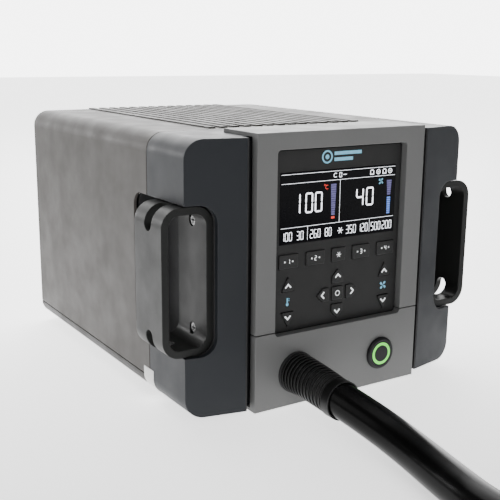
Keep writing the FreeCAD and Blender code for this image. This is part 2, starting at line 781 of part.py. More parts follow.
def make_handles():
    ring = handle_ring()
    node("handle_right", ring)
    node("handle_left", mirrored("handle_left", ring))
    screws = []
    for label, sign in (("high", "+"), ("low", "-")):
        z = "%s %s dims.screw_level" % (MIDDLE, sign)
        y = depth("dims.slot_middle")
        head = cylinder("handle_screw_head_" + label, "x", "3.4", ("dims.handle_inner + 2", "dims.handle_inner + 4"), y, z)
        shank_x = ("dims.recess_inner - 8", "dims.handle_inner + 3")
        shank = cylinder("handle_screw_shank_" + label, "x", "2.0", shank_x, y, z)
        cross = [
            box("cross_wide_" + label, ("dims.handle_inner + 3", "dims.handle_inner + 5"),
                (y + " - 1.9", y + " + 1.9"), (z + " - 0.45", z + " + 0.45")),
            box("cross_tall_" + label, ("dims.handle_inner + 3", "dims.handle_inner + 5"),
                (y + " - 0.45", y + " + 0.45"), (z + " - 1.9", z + " + 1.9")),
        ]
        screw = cut("handle_screw_right_" + label, fuse("handle_screw_solid_" + label, head, shank), *cross)
        screws.append(screw)
        screws.append(mirrored("handle_screw_left_" + label, screw))
    node("handle_screws", group("handle_screws", *screws))


def make_trays():
    """Thin dark walls behind the openings for the handles."""
    back = depth("dims.recess_depth + dims.tray_wall + 8")
    outside = common(
        "tray_outside",
        recess_space("tray_outer", "dims.tray_wall", 1),
        bezel_space("tray_room", "0.8", back),
    )
    holes = [
        cylinder("tray_hole_" + label, "x", "2.1", ("dims.recess_inner - 10", "dims.recess_inner + 5"),
                 depth("dims.slot_middle"), "%s %s dims.screw_level" % (MIDDLE, sign))
        for label, sign in (("high", "+"), ("low", "-"))
    ]
    tray = cut("tray_right", outside, recess_space("tray_inner", "0", 1), *holes)
    node("handle_tray_right", tray)
    node("handle_tray_left", mirrored("handle_tray_left", tray))


# ---------------------------------------------------------------- rear
def make_rear():
    inset = "-dims.shell_wall - 0.3"
    panel_y = ("%s - 3.5" % REAR, "%s - 1.5" % REAR)
    panel = body_prism("rear_plate", inset, panel_y)
    cutout = box(
        "inlet_cutout",
        ("dims.inlet_x - 14", "dims.inlet_x + 14"),
        ("%s - 8" % REAR, "%s + 2" % REAR),
        ("dims.inlet_z - 24", "dims.inlet_z + 24"),
    )
    vents = []
    for index in range(13):
        x = "(%d - 6) * 9" % index
        vents.append(
            bar("vent_%d" % index, ("%s - 2" % x, "%s + 2" % x), ("%s - 8" % REAR, "%s + 2" % REAR),
                (level("96"), level("146")), "1.9")
        )
    holes = []
    screws = []
    for index, (x, z) in enumerate(REAR_SCREWS):
        holes.append(cylinder("rear_hole_%d" % index, "y", "1.8", ("%s - 8" % REAR, "%s + 2" % REAR), x, z))
        head = cylinder("rear_head_%d" % index, "y", "3.2", ("%s - 1.5" % REAR, "%s + 0.3" % REAR), x, z)
        screws.append(fuse("rear_screw_%d" % index, head,
                           cylinder("rear_shank_%d" % index, "y", "1.7", ("%s - 3.6" % REAR, "%s - 1" % REAR), x, z)))
    node("rear_panel", cut("rear_panel", panel, cutout, *vents, *holes))
    node("rear_screws", group("rear_screws", *screws))


REAR_SCREWS = [
    ("-%s + 16" % HALF, level("6.5")),
    ("%s - 16" % HALF, level("6.5")),
    ("-%s + 16" % HALF, "%s - 8.5" % TOP),
    ("%s - 16" % HALF, "%s - 8.5" % TOP),
]


def make_inlet():
    x = "dims.inlet_x"
    z = "dims.inlet_z"
    face = "%s - 1.5" % REAR
    flange = bar("inlet_flange", (x + " - 17", x + " + 17"), (face, REAR + " + 1.5"),
                 (z + " - 27", z + " + 27"), "3")
    body = box("inlet_body", (x + " - 13.8", x + " + 13.8"), (REAR + " - 26", face + " + 0.1"),
               (z + " - 23.8", z + " + 23.8"))
    socket = bar("inlet_socket", (x + " - 11.5", x + " + 11.5"), (REAR + " - 16", REAR + " + 5"),
                 (z + " - 3.5", z + " + 13.5"), "4")
    drawer_way = box("inlet_drawer_way", (x + " - 10.4", x + " + 10.4"), (REAR + " - 22", REAR + " + 5"),
                     (z + " - 20.4", z + " - 9.6"))
    node("mains_inlet", cut("mains_inlet", fuse("inlet_solid", flange, body), socket, drawer_way))
    pins = []
    for index, (dx, dz) in enumerate(((-7.0, 7.0), (7.0, 7.0), (0.0, 3.0))):
        pins.append(box("pin_%d" % index, ("%s + %s - 1" % (x, dx), "%s + %s + 1" % (x, dx)),
                        (REAR + " - 16", REAR + " - 1.5"), ("%s + %s - 2" % (z, dz), "%s + %s + 2" % (z, dz))))
    node("inlet_pins", group("inlet_pins", *pins))
    drawer = box("drawer_tray", (x + " - 10", x + " + 10"), (REAR + " - 21", REAR + " + 1.6"),
                 (z + " - 20", z + " - 10"))
    face_plate = box("drawer_face", (x + " - 11.5", x + " + 11.5"), (REAR + " + 1.8", REAR + " + 3.2"),
                     (z + " - 21.4", z + " - 8.6"))
    neck = box("drawer_neck", (x + " - 9", x + " + 9"), (REAR + " + 1", REAR + " + 2.4"),
               (z + " - 19", z + " - 11"))
    node("fuse_drawer", fuse("fuse_drawer", drawer, neck, face_plate))


# ---------------------------------------------------------------- inside
def make_blower():
    x = "dims.blower_x"
    y = "dims.blower_y"
    low = level("dims.blower_low")
    high = level("dims.blower_high")
    radius = "dims.blower_radius"
    outlet_x = (HOSE_X + " - 12", HOSE_X + " + 12")
    outlet_front = depth("60")
    drum = cylinder("blower_drum", "z", radius, (low, high), x, y)
    outlet = box("blower_outlet", outlet_x, (outlet_front, y), (low, high))
    room = cylinder("blower_room", "z", radius + " - 2", (low + " + 2", high + " + 1"), x, y)
    outlet_room = box("outlet_room", (HOSE_X + " - 10", HOSE_X + " + 10"), (outlet_front + " - 1", y),
                      (low + " + 2", high + " + 1"))
    intake = cylinder("blower_intake", "z", "23", (low + " - 1", low + " + 3"), x, y)
    node("blower_housing", cut("blower_housing", fuse("blower_solid", drum, outlet), room, outlet_room, intake))
    lid = cylinder("lid_disc", "z", radius, (high, high + " + 2"), x, y)
    lid_outlet = box("lid_outlet", outlet_x, (outlet_front, y), (high, high + " + 2"))
    lid_hole = cylinder("lid_hole", "z", "6", (high + " - 1", high + " + 3"), x, y)
    node("blower_cover", cut("blower_cover", fuse("lid_solid", lid, lid_outlet), lid_hole))
    motor_z = (high + " + 2", high + " + 2 + dims.motor_height")
    motor = cylinder("motor_can", "z", "20", motor_z, x, y)
    motor_bore = cylinder("motor_bore", "z", "2.9", (high, high + " + 22"), x, y)
    node("blower_motor", cut("blower_motor", motor, motor_bore))
    hub = cylinder("impeller_hub", "z", "8", (low + " + 6", high + " - 3"), x, y)
    plate = cylinder("impeller_plate", "z", "38", (high + " - 5", high + " - 3"), x, y)
    blades = []
    for index in range(12):
        blade = doc.addObject("Part::Box", "blade_%d" % index)
        blade.Length = 18
        blade.Width = 1.6
        blade.setExpression("Height", "dims.blower_high - dims.blower_low - 10")
        turn = FreeCAD.Rotation(FreeCAD.Vector(0, 0, 1), index * 30)
        blade.Placement.Rotation = turn
        start = turn.multVec(FreeCAD.Vector(19, -0.8, 0))
        put(blade, "%s + %.4f" % (x, start.x), "%s + %.4f" % (y, start.y), low + " + 6")
        blades.append(blade)
    shaft = cylinder("motor_shaft", "z", "2.5", (low + " + 6", high + " + 21"), x, y)
    node("blower_impeller", fuse("blower_impeller", hub, plate, shaft, *blades))
    duct_y = (depth("12"), outlet_front)
    duct = cylinder("duct_outside", "y", "13", duct_y, HOSE_X, PORT_Z)
    collar = box("duct_collar", outlet_x, (outlet_front + " - 3", outlet_front), (low, high + " + 2"))
    duct_bore = cylinder("duct_bore", "y", "11", (depth("5"), outlet_front + " + 5"), HOSE_X, PORT_Z)
    node("air_duct", cut("air_duct", fuse("duct_solid", duct, collar), duct_bore))


def make_electronics():
    board_z = (level("8"), level("9.6"))
    node("main_board", box("main_board", ("50", "98"), ("-46", "104"), board_z))
    core = box("transformer_core", ("52", "92"), ("40", "90"), (level("9.6"), level("50")))
    winding = box("transformer_winding", ("57", "87"), ("35", "95"), (level("15"), level("44")))
    node("transformer", fuse("transformer", core, winding))


def make_seal_label():
    """A plain paper seal that wraps the lower left edge over the seams."""
    y_span = (depth("dims.bezel_depth - 5"), depth("dims.bezel_depth + 9"))
    skin = cut("label_skin", body_prism("label_outside", "0.15", y_span),
               body_prism("label_inside", "0", (depth("30"), depth("70"))))
    patch = box("label_patch", ("-%s - 2" % HALF, "-%s + 9" % HALF), y_span, ("2", level("17.5")))
    node("seal_label", common("seal_label", skin, patch))


# ---------------------------------------------------------------- hose
def make_hose_port():
    face = "-dims.panel_proud"
    flange = cylinder("hose_flange_disc", "y", "dims.flange_diameter / 2", (depth(face + " - 1.8"), depth(face)),
                      HOSE_X, PORT_Z)
    spigot = cylinder("hose_spigot", "y", "10.3", (depth(face + " - 1"), depth("18")), HOSE_X, PORT_Z)
    bore = cylinder("hose_flange_bore", "y", "8.5", (depth("-30"), depth("30")), HOSE_X, PORT_Z)
    node("hose_flange", cut("hose_flange", fuse("hose_flange_solid", flange, spigot), bore))


def make_relief():
    """The ribbed sleeve: rings side by side that sink a little towards the free end, and a collar."""
    start = "-dims.panel_proud - 1.8"
    rings = []
    bores = []
    body_length = "(dims.relief_length - dims.collar_length)"
    for index in range(RELIEF_RINGS + 1):
        share = index / RELIEF_RINGS
        x = "%s + dims.relief_side * %.4f" % (HOSE_X, share**2)
        z = "%s - dims.relief_sink * %.4f" % (PORT_Z, share**2)
        back = "%s - %s * %.4f" % (start, body_length, share)
        pitch = "%s / %d" % (body_length, RELIEF_RINGS)
        bores.append(cylinder("relief_bore_%d" % index, "y", "8.5",
                              (depth("%s - %s - 0.1" % (back, pitch)), depth(back + " + 0.1")), x, z))
        if index == RELIEF_RINGS:
            collar_end = "%s - dims.collar_length" % back
            rings.append(cylinder("relief_collar", "y", "12.4", (depth(collar_end), depth(back)), x, z))
            bores.append(cylinder("relief_throat", "y", "8.5", (depth(collar_end + " - 1"), depth(back)), x, z))
            seat_y = (depth(collar_end + " - 1"), depth(collar_end + " + dims.collar_seat"))
            bores.append(cylinder("relief_seat", "y", "dims.hose_diameter / 2 + 0.5", seat_y, x, z))
            break
        rings.append(cylinder("relief_core_%d" % index, "y", "11.2",
                              (depth("%s - %s - 0.05" % (back, pitch)), depth(back)), x, z))
        radius = "%.2f" % (13.2 - 0.09 * index)
        rib_back = "%s - 0.25 * %s" % (back, pitch)
        rings.append(cylinder("relief_rib_%d" % index, "y", radius,
                              (depth("%s - 0.46 * %s" % (rib_back, pitch)), depth(rib_back)), x, z))
    node("hose_relief", cut("hose_relief", fuse("relief_solid", *rings), *bores))


RELIEF_RINGS = 12

# The hose's route from its seat in the collar to the start of its coil, by hand: it comes down to
# the bench, runs forward and swings to the right.
HOSE_ROUTE = [
    (-32.4, -180.3, 21.1),
    (-29.0, -208.5, 16.5),
    (-29.4, -240.0, 12.5),
    (-35.5, -274.0, 11.2),
    (-43.0, -313.0, 11.2),
    (-38.0, -357.0, 11.2),
    (-18.0, -397.0, 11.2),
    (14.0, -428.0, 11.2),
    (56.0, -446.0, 11.2),
    (100.0, -450.0, 11.2),
    (136.0, -450.0, 11.2),
]
# And from the end of the coil, which lies on itself there, out and down to the handpiece.
TAIL_ROUTE = [
    (136.0, -450.0, 33.6),
    (172.0, -449.0, 33.6),
    (214.0, -436.0, 33.4),
    (248.0, -407.0, 31.0),
    (269.0, -367.0, 25.0),
    (277.0, -324.0, 19.2),
    (278.0, -286.0, 17.6),
]


def tube_path(points):
    """Straight runs joined by tangent arcs, each as large as its two runs allow."""
    corners = [FreeCAD.Vector(*point) for point in points]
    edges = []
    radii = []
    last = corners[0]
    for before, corner, after in zip(corners, corners[1:], corners[2:]):
        arriving = (corner - before).normalize()
        leaving = (after - corner).normalize()
        turn = arriving.getAngle(leaving)
        reach = 0.45 * min((corner - before).Length, (after - corner).Length)
        first = corner - arriving * reach
        second = corner + leaving * reach
        inward = (leaving - arriving).normalize()
        radius = reach / math.tan(turn / 2)
        centre = corner + inward * (radius / math.cos(turn / 2))
        edges.append(Part.LineSegment(last, first).toShape())
        edges.append(Part.Arc(first, centre - inward * radius, second).toShape())
        radii.append(radius)
        last = second
    edges.append(Part.LineSegment(last, corners[-1]).toShape())
    return Part.Wire(edges), radii


def make_tube(name, points):
    path, radii = tube_path(points)
    section = size("dims.hose_diameter") / 2
    start = FreeCAD.Vector(*points[0])
    heading = FreeCAD.Vector(*points[1]) - start
    ring = Part.Wire([Part.Circle(start, heading, section).toShape()])
    tube = doc.addObject("Part::Feature", name)
    tube.Shape = path.makePipeShell([ring], True, False)
    expected = math.pi * section**2 * path.Length
    print("%s: length %.0f, radii %s" % (name, path.Length, [round(radius) for radius in radii]))
    print("%s: volume / (section x length) = %.4f" % (name, tube.Shape.Volume / expected))
    node(name, tube)


def coil_sector(name, start_angle, sweep, z_span):
    """Part of the coil's outer shape: a ring-shaped slab between two angles."""
    outer = cylinder(name + "_outer", "z", "dims.coil_radius + dims.hose_diameter / 2", z_span,
                     "dims.coil_x", "dims.coil_y")
    inner = cylinder(name + "_inner", "z", "dims.coil_radius - dims.hose_diameter / 2",
                     ("%s - 5" % z_span[0], "%s + 5" % z_span[1]), "dims.coil_x", "dims.coil_y")
    outer.Angle = sweep
    outer.Placement.Rotation = FreeCAD.Rotation(FreeCAD.Vector(0, 0, 1), start_angle)
    put(outer, "dims.coil_x", "dims.coil_y", z_span[0])
    return cut(name, outer, inner)


def make_hose():
    make_tube("hose_tube", HOSE_ROUTE)
    make_tube("hose_tail", TAIL_ROUTE)
    lower = coil_sector("coil_lower", 270, 262, ("0.2", "dims.hose_diameter + 0.2"))
    upper = coil_sector("coil_upper", 120, 150, ("dims.hose_diameter", "dims.coil_top + dims.hose_diameter / 2"))
    node("hose_coil", fuse("hose_coil", lower, upper))


# ---------------------------------------------------------------- handpiece
HAND_X = "%s" % TAIL_ROUTE[-1][0]
HAND_Y = "%s" % TAIL_ROUTE[-1][1]
HAND_Z = "%s" % TAIL_ROUTE[-1][2]


def hand_bar(name, radius, start, end):
    return cylinder(name, "y", radius, ("%s + %s" % (HAND_Y, start), "%s + %s" % (HAND_Y, end)), HAND_X, HAND_Z)


def hand_cone(name, radii, start, end):
    return cone(name, "y", radii, ("%s + %s" % (HAND_Y, start), "%s + %s" % (HAND_Y, end)), HAND_X, HAND_Z)


def make_handpiece():
    relief = hand_cone("hand_relief_cone", ("11.8", "15.5"), "0", "dims.grip_start + 4")
    grooves = []
    for index in range(7):
        outer = hand_bar("hand_groove_out_%d" % index, "17", "%d" % (5 + 4.5 * index), "%.1f" % (6.6 + 4.5 * index))
        inner = hand_bar("hand_groove_in_%d" % index, "%.2f" % (11.2 + 0.35 * index), "0", "40")
        grooves.append(cut("hand_groove_%d" % index, outer, inner))
    bore = hand_bar("hand_relief_bore", "8.5", "-2", "dims.grip_start + 8")
    node("handpiece_relief", cut("handpiece_relief", relief, *grooves, bore))
    barrel_gap = hand_bar("grip_room", "dims.barrel_radius + 0.1", "dims.grip_start + 16", "dims.grip_end + 5")
    hose_way = hand_bar("grip_hose_way", "9", "dims.grip_start - 2", "dims.grip_start + 20")
    relief_seat = hand_cone("grip_seat", ("11.9", "15.6"), "0", "dims.grip_start + 4.1")
    body = hand_bar("grip_body", "dims.grip_radius", "dims.grip_start", "dims.grip_end")
    doc.recompute()
    soft = rounded("grip_soft", body, "2.5", lambda edge: isinstance(edge.Curve, Part.Circle))
    shell = cut("grip_shell", soft, barrel_gap, hose_way, relief_seat)
    room = "dims.grip_radius + 5"
    span = ("%s + dims.grip_start - 5" % HAND_Y, "%s + dims.grip_end + 5" % HAND_Y)
    x = ("%s - (%s)" % (HAND_X, room), "%s + (%s)" % (HAND_X, room))
    above = box("above_seam", x, span, (HAND_Z, "%s + %s" % (HAND_Z, room)))
    below = box("below_seam", x, span, ("%s - (%s)" % (HAND_Z, room), HAND_Z))
    node("handpiece_grip_lower", common("handpiece_grip_lower", shell, below))
    node("handpiece_grip_upper", common("handpiece_grip_upper", shell, above))
    outside = hand_bar("barrel_outside", "dims.barrel_radius", "dims.grip_start + 16", "dims.barrel_end")
    inside = hand_bar("barrel_inside", "dims.barrel_radius - 1.2", "dims.grip_start + 15", "dims.barrel_end + 1")
    node("heater_barrel", cut("heater_barrel", outside, inside))
    core = hand_bar("heater_core_outside", "dims.barrel_radius - 1.3", "dims.grip_start + 26", "dims.barrel_end - 10")
    ways = [cylinder("heater_way_%d" % index, "y", "2.4",
                     ("%s + 50" % HAND_Y, "%s + dims.barrel_end" % HAND_Y),
                     "%s + %.3f" % (HAND_X, 6 * math.cos(math.radians(60 * index))),
                     "%s + %.3f" % (HAND_Z, 6 * math.sin(math.radians(60 * index)))) for index in range(6)]
    node("heater_core", cut("heater_core", core, *ways))
    sleeve = hand_bar("nozzle_sleeve", "dims.barrel_radius + 1.3", "dims.barrel_end - 12", "dims.barrel_end + 1.2")
    sleeve_room = hand_bar("nozzle_room", "dims.barrel_radius + 0.05", "dims.barrel_end - 13", "dims.barrel_end")
    taper = hand_cone("nozzle_taper", ("dims.barrel_radius + 1.3", "6"), "dims.barrel_end + 1", "dims.barrel_end + 16")
    taper_room = hand_cone("taper_room", ("dims.barrel_radius - 1", "5"), "dims.barrel_end - 1",
                           "dims.barrel_end + 16.2")
    spout = hand_bar("nozzle_spout", "6", "dims.barrel_end + 15", "dims.nozzle_end")
    spout_room = hand_bar("spout_room", "5", "dims.barrel_end + 15", "dims.nozzle_end + 1")
    solid = fuse("nozzle_solid", sleeve, taper, spout)
    node("nozzle", cut("nozzle", solid, sleeve_room, taper_room, spout_room))


# ---------------------------------------------------------------- build
make_bezel()
make_top_cover()
make_base_pan()
make_feet()
make_front_panels()
make_subframe()
make_keys()
make_keypad()
make_display()
make_power_switch()
make_handles()
make_trays()
make_rear()
make_inlet()
make_blower()
make_electronics()
make_seal_label()
make_hose_port()
make_relief()
make_hose()
make_handpiece()
doc.recompute()

for feature in doc.Objects:
    if "Invalid" in feature.State or "Error" in feature.State:
        raise RuntimeError("%s did not build" % feature.Label)

os.makedirs("parts", exist_ok=True)
for name, piece in NODES.items():
    shape = piece.Shape
    if shape.isNull() or not shape.isValid() or shape.Volume <= 0:
        raise RuntimeError("%s is not a valid solid" % name)
    shape.exportStep("parts/%s.step" % name)
print("%d parts written" % len(NODES))
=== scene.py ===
import math

import bmesh
import bpy
from mathutils import Matrix, Vector


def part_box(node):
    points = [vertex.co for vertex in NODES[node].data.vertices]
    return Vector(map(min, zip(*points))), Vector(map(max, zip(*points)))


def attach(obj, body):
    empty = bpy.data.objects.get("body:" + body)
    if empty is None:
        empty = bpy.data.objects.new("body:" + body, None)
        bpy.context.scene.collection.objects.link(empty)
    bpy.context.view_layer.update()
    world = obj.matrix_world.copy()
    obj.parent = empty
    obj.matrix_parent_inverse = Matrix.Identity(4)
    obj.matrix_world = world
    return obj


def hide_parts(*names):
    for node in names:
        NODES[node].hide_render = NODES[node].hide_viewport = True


# Looks of a bench hot air station: metres, in the CAD frame, with the front facing -Y.
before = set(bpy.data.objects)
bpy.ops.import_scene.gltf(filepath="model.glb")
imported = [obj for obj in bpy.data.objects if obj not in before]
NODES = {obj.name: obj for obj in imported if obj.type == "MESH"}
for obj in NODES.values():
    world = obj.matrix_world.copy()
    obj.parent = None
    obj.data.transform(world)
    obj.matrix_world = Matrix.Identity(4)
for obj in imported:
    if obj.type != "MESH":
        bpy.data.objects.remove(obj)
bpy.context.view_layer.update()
MM = 0.001


# ---------------------------------------------------------------- camera, light and floor
CAMERA_PLACE = (-0.3431, -0.5630, 0.2270)
CAMERA_SENSOR, CAMERA_LENS = 36.0, 62.23
# How far the view is turned from level along +Y: to the right, down, and about itself.
CAMERA_ANGLES = (32.66, 13.11, 0.56)


def make_camera():
    """The front is seen from the left and a little above."""
    data = bpy.data.cameras.new("camera")
    data.sensor_width = CAMERA_SENSOR
    data.lens = CAMERA_LENS
    data.clip_start = 0.01
    camera = bpy.data.objects.new("camera", data)
    bpy.context.scene.collection.objects.link(camera)
    azimuth, pitch, roll = (math.radians(angle) for angle in CAMERA_ANGLES)
    forward = Vector((
        math.sin(azimuth) * math.cos(pitch),
        math.cos(azimuth) * math.cos(pitch),
        -math.sin(pitch),
    ))
    level_right = Vector((math.cos(azimuth), -math.sin(azimuth), 0.0))
    level_up = level_right.cross(forward)
    right = math.cos(roll) * level_right + math.sin(roll) * level_up
    up = math.cos(roll) * level_up - math.sin(roll) * level_right
    turn = Matrix((right, up, -forward)).transposed().to_4x4()
    camera.matrix_world = Matrix.Translation(CAMERA_PLACE) @ turn
    bpy.context.scene.camera = camera


# Soft lights: name, place, the point that each faces, width, height and power.
LIGHTS = [
    ("top_softbox", (0.15, 0.6, 1.4), (0, 0, 0.1), 1.4, 1.4, 24),
    ("left_softbox", (-1.4, 0.3, 0.7), (0, 0, 0.08), 0.8, 0.8, 3),
    ("rear_softbox", (-0.75, 1.15, 0.34), (-0.04, -0.32, 0.02), 0.12, 0.3, 3.5),
    ("front_softbox", (-0.5, -1.5, 1.0), (0, -0.1, 0.08), 0.6, 0.6, 8),
]


def area_light(name, place, target, width, height, power):
    data = bpy.data.lights.new(name, "AREA")
    data.shape = "RECTANGLE"
    data.size = width
    data.size_y = height
    data.energy = power
    light = bpy.data.objects.new(name, data)
    bpy.context.scene.collection.objects.link(light)
    light.location = place
    light.rotation_euler = (Vector(target) - Vector(place)).to_track_quat("-Z", "Y").to_euler()


def along(tree, vector, direction):
    """How far a place or direction lies along another one."""
    product = add(tree, "ShaderNodeVectorMath", operation="DOT_PRODUCT")
    tree.links.new(vector, product.inputs[0])
    product.inputs[1].default_value = direction
    return product.outputs["Value"]


# Level directions: from the front left to the backdrop, and across that.
BACKDROP = (0.54, 0.84, 0.0)
ASIDE = (0.84, -0.54, 0.0)
# Light of the room and of the backdrop, and how squarely a direction faces the backdrop where
# the one gives way to the other.
ROOM_LIGHT, BACKDROP_LIGHT = 0.30, 6.0
BACKDROP_EDGE = (0.5, 0.8)
# The lit bench: its glow, how steeply its sides close in, and the metres over which they and its
# front fade.
BENCH_GLOW = 2.6
WEDGE_SLOPE = -3.0
WEDGE_FADE = (-2.10, -0.30)
FRONT_FADE = (-0.55, 0.05)
FLOOR_REACH, FLOOR_DROP = 6.0, 0.0003


def pool_of_light(tree):
    """The lit wedge of bench under and behind the object."""
    place = add(tree, "ShaderNodeTexCoord").outputs["Object"]
    aside = add(tree, "ShaderNodeMath", operation="ABSOLUTE")
    tree.links.new(along(tree, place, ASIDE), aside.inputs[0])
    wedge = add(tree, "ShaderNodeMath", operation="MULTIPLY_ADD")
    tree.links.new(aside.outputs[0], wedge.inputs[0])
    wedge.inputs[1].default_value = WEDGE_SLOPE
    tree.links.new(along(tree, place, BACKDROP), wedge.inputs[2])
    sides = spread(tree, wedge.outputs[0], 0.0, 1.0, *WEDGE_FADE)
    front = spread(tree, along(tree, place, BACKDROP), 0.0, BENCH_GLOW, *FRONT_FADE)
    glow = add(tree, "ShaderNodeMath", operation="MULTIPLY")
    tree.links.new(sides, glow.inputs[0])
    tree.links.new(front, glow.inputs[1])
    return glow.outputs[0]


def make_world():
    """A bright backdrop behind the object and a dimmer room in front of it."""
    world = bpy.data.worlds.new("studio")
    bpy.context.scene.world = world
    world.use_nodes = True
    tree = world.node_tree
    place = add(tree, "ShaderNodeTexCoord")
    towards = along(tree, place.outputs["Generated"], BACKDROP)
    strength = spread(tree, towards, ROOM_LIGHT, BACKDROP_LIGHT, *BACKDROP_EDGE)
    background = tree.nodes["Background"]
    background.inputs["Color"].default_value = (1, 1, 1, 1)
    tree.links.new(strength, background.inputs["Strength"])


def make_studio():
    make_world()
    for light in LIGHTS:
        area_light(*light)
    mesh = bpy.data.meshes.new("floor")
    corners = [(FLOOR_REACH * x, FLOOR_REACH * y, 0) for x, y in ((-1, -1), (1, -1), (1, 1), (-1, 1))]
    mesh.from_pydata(corners, [], [(0, 1, 2, 3)])
    floor = bpy.data.objects.new("floor", mesh)
    floor.location.z = -FLOOR_DROP
    bpy.context.scene.collection.objects.link(floor)
    paper, shader, tree = new_material("studio_floor")
    tree.links.new(pool_of_light(tree), shader.inputs["Emission Strength"])
    shader.inputs["Base Color"].default_value = (0.93, 0.93, 0.93, 1)
    shader.inputs["Roughness"].default_value = 0.9
    shader.inputs["Emission Color"].default_value = (1, 1, 1, 1)
    mesh.materials.append(paper)


# ---------------------------------------------------------------- materials
def new_material(name):
    material = bpy.data.materials.new(name)
    material.use_nodes = True
    tree = material.node_tree
    return material, tree.nodes["Principled BSDF"], tree


def add(tree, kind, **values):
    made = tree.nodes.new(kind)
    for key, value in values.items():
        if hasattr(made, key):
            setattr(made, key, value)
        else:
            made.inputs[key].default_value = value
    return made


def noise(tree, scale, detail=4.0):
    """A noise texture in object space, with features about 1 / scale metres wide."""
    place = add(tree, "ShaderNodeTexCoord")
    texture = add(tree, "ShaderNodeTexNoise", Scale=scale, Detail=detail)
    tree.links.new(place.outputs["Object"], texture.inputs["Vector"])
    return texture.outputs["Fac"]


def spread(tree, source, low, high, start=0.3, end=0.7):
    """Maps a grey pattern between two values."""
    mapped = add(tree, "ShaderNodeMapRange")
    for key, value in (("From Min", start), ("From Max", end), ("To Min", low), ("To Max", high)):
        mapped.inputs[key].default_value = value
    tree.links.new(source, mapped.inputs["Value"])
    return mapped.outputs["Result"]


def mix(tree, share, first, second):
    """Blends two colours, or a linked colour and a plain one, by a share."""
    blend = add(tree, "ShaderNodeMix", data_type="RGBA")
    tree.links.new(share, blend.inputs[0])
    for socket, colour in ((blend.inputs[6], first), (blend.inputs[7], second)):
        if isinstance(colour, tuple):
            socket.default_value = (*colour, 1)
        else:
            tree.links.new(colour, socket)
    return blend.outputs[2]


# Features per metre of the cloudy colour, the uneven roughness and a glowing mark's shade, and
# how far a paler edge reaches in metres; the paler edge is part wear and part painted highlight.
CLOUD_SCALE, UNEVEN_SCALE, GLOW_SCALE = 22.0, 60.0, 300.0
EDGE_REACH = 0.0007


def surface(name, colour, rough, grain, grain_scale, metal=0.0, wear_and_highlight=0.25, rib=None, specular=0.5):
    """A moulded or coated surface: cloudy colour, fine grain, uneven roughness and paler edges, part wear
    and part painted highlight.

    grain is the depth of the fine bumps in metres, wear is how pale the edges get, and rib, if
    given, adds grooves (axis, per metre, depth).
    """
    material, shader, tree = new_material(name)
    clouds = spread(tree, noise(tree, CLOUD_SCALE), 0.0, 1.0)
    dark = tuple(0.97 * part for part in colour)
    light = tuple(min(1.0, 1.03 * part) for part in colour)
    base = mix(tree, clouds, dark, light)
    speckle = spread(tree, noise(tree, grain_scale, 2.0), 0.0, 0.16, 0.55, 0.8)
    base = mix(tree, speckle, base, tuple(min(1.0, 1.8 * part + 0.01) for part in colour))
    edge = add(tree, "ShaderNodeBevel", samples=4, Radius=EDGE_REACH)
    normal = add(tree, "ShaderNodeNewGeometry")
    apart = add(tree, "ShaderNodeVectorMath", operation="DISTANCE")
    tree.links.new(edge.outputs["Normal"], apart.inputs[0])
    tree.links.new(normal.outputs["Normal"], apart.inputs[1])
    # Paler edges: part worn paint, part a painted highlight where edges catch the light.
    edge_wear_and_highlight = spread(tree, apart.outputs["Value"], 0.0, wear_and_highlight, 0.05, 0.5)
    pale = tuple(min(1.0, 1.5 * part + 0.06) for part in colour)
    tree.links.new(mix(tree, edge_wear_and_highlight, base, pale), shader.inputs["Base Color"])
    uneven = spread(tree, noise(tree, UNEVEN_SCALE), rough * 0.86, min(1.0, rough * 1.15))
    tree.links.new(uneven, shader.inputs["Roughness"])
    shader.inputs["Metallic"].default_value = metal
    shader.inputs["Specular IOR Level"].default_value = specular
    bump = add(tree, "ShaderNodeBump", Strength=0.5, Distance=grain)
    tree.links.new(noise(tree, grain_scale), bump.inputs["Height"])
    tree.links.new(edge.outputs["Normal"], bump.inputs["Normal"])
    last = bump
    if rib:
        last = ribbed(tree, bump, *rib)
    tree.links.new(last.outputs["Normal"], shader.inputs["Normal"])
    return material


def ribbed(tree, before, axis, per_metre, deep):
    """Fine grooves over an earlier bump. A wave texture of scale 1 runs through 20 radians a metre."""
    place = add(tree, "ShaderNodeTexCoord")
    wave = add(tree, "ShaderNodeTexWave", bands_direction=axis, Scale=2 * math.pi * per_metre / 20)
    tree.links.new(place.outputs["Object"], wave.inputs["Vector"])
    grooves = add(tree, "ShaderNodeBump", Strength=0.6, Distance=deep)
    tree.links.new(wave.outputs["Fac"], grooves.inputs["Height"])
    tree.links.new(before.outputs["Normal"], grooves.inputs["Normal"])
    return grooves


def glowing(name, colour, strength):
    """A lit mark: a soft glow with a slightly cloudy face."""
    material, shader, tree = new_material(name)
    shade = spread(tree, noise(tree, GLOW_SCALE), 0.0, 1.0)
    tone = mix(tree, shade, tuple(0.85 * part for part in colour), colour)
    tree.links.new(tone, shader.inputs["Base Color"])
    tree.links.new(tone, shader.inputs["Emission Color"])
    shader.inputs["Emission Strength"].default_value = strength
    shader.inputs["Roughness"].default_value = 0.4
    return material


# Grain depths in metres: nearly smooth, fine and coarse.
SMOOTH, FINE, COARSE = 0.000004, 0.00003, 0.00004


